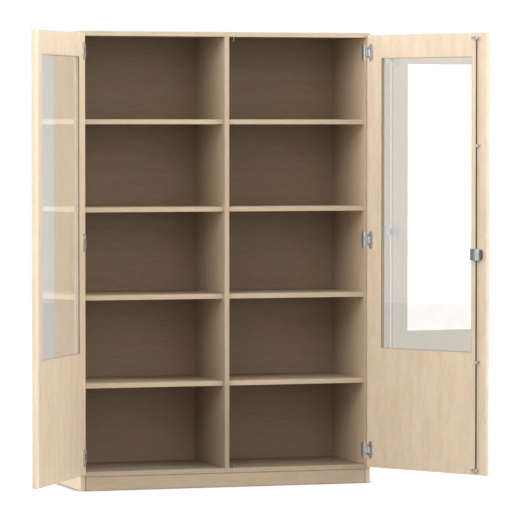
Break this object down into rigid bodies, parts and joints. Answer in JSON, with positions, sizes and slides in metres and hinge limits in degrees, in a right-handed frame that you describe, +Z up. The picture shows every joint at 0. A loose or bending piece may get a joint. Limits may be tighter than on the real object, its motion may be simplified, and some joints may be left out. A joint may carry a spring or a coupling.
{
  "type": "glass-door cabinet",
  "caption": "Tall free-standing cabinet in light wood laminate with glazed hinged doors, a centre divider, shelves in both halves, a plinth and a turning-rod lock.",
  "frame": {"origin": "on the floor, at the middle of the carcass's footprint, on the underside of the plinth's cross board", "axes": "+Z up, +Y out through the back panel, +X to the right for someone facing the doors"},
  "size_m": [1.8358, 0.9409, 1.8],
  "materials": {
    "carcass_board": "satin laminate",
    "back_board": "satin laminate",
    "door_board": "satin laminate",
    "pane": "clear",
    "bead": "matte",
    "strip": "satin",
    "cast_metal": "satin cast",
    "bright_steel": "polished",
    "rod": "dark satin"
  },
  "bodies": {
    "carcass": {"side_panel_left": "carcass_board", "side_panel_right": "carcass_board", "top_panel": "carcass_board", "bottom_panel": "carcass_board", "centre_divider": "carcass_board", "back_panel": "back_board", "plinth_front": "carcass_board", "plinth_back": "carcass_board", "plinth_side_left": "carcass_board", "plinth_side_right": "carcass_board", "plinth_cross_board": "carcass_board", "shelf_left_1": "carcass_board", "shelf_left_2": "carcass_board", "shelf_left_3": "carcass_board", "shelf_left_4": "carcass_board", "shelf_right_1": "carcass_board", "shelf_right_2": "carcass_board", "shelf_right_3": "carcass_board", "shelf_right_4": "carcass_board", "hinge_body_left_top": "cast_metal", "hinge_body_left_middle": "cast_metal", "hinge_body_left_bottom": "cast_metal", "hinge_body_right_top": "cast_metal", "hinge_body_right_middle": "cast_metal", "hinge_body_right_bottom": "cast_metal", "hinge_pin_left_top": "bright_steel", "hinge_pin_left_middle": "bright_steel", "hinge_pin_left_bottom": "bright_steel", "hinge_pin_right_top": "bright_steel", "hinge_pin_right_middle": "bright_steel", "hinge_pin_right_bottom": "bright_steel", "strike_pin_top": "bright_steel", "strike_pin_bottom": "bright_steel"},
    "left_door": {"door_left": "door_board", "pane_left": "pane", "glazing_bead_left": "bead", "closing_strip": "strip", "hinge_leaf_left_top": "cast_metal", "hinge_leaf_left_middle": "cast_metal", "hinge_leaf_left_bottom": "cast_metal"},
    "right_door": {"door_right": "door_board", "pane_right": "pane", "glazing_bead_right": "bead", "hinge_leaf_right_top": "cast_metal", "hinge_leaf_right_middle": "cast_metal", "hinge_leaf_right_bottom": "cast_metal", "lock_case": "cast_metal", "lock_cylinder": "bright_steel", "rod_guide_upper": "cast_metal", "rod_guide_lower": "cast_metal"},
    "lock_rods": {"rod_upper": "rod", "rod_lower": "rod", "rod_hub": "bright_steel", "rod_hook_upper": "cast_metal", "rod_hook_lower": "cast_metal"},
    "key_plug": {"lock_plug": "bright_steel"}
  },
  "joints": [
    {"name": "left_door_swing", "type": "hinge", "parent": "carcass", "child": "left_door", "pos_m": [-0.594, -0.2212, 0.92725], "axis": [0, 0, -1], "range_deg": [-123, 2]},
    {"name": "right_door_swing", "type": "hinge", "parent": "carcass", "child": "right_door", "pos_m": [0.594, -0.2212, 0.92725], "axis": [0, 0, 1], "range_deg": [-121.5, 3.5]},
    {"name": "rods_turn", "type": "hinge", "parent": "right_door", "child": "lock_rods", "pos_m": [0.86527, -0.70119, 0.92725], "axis": [0, 0, 1], "range_deg": [0, 90]},
    {"name": "key_turn", "type": "hinge", "parent": "right_door", "child": "key_plug", "pos_m": [0.8819, -0.691, 0.92725], "axis": [-0.8526, -0.5225, 0], "range_deg": [0, 90]}
  ],
  "couplings": [
    {"joint": "key_turn", "follows": "rods_turn", "ratio": 1}
  ]
}
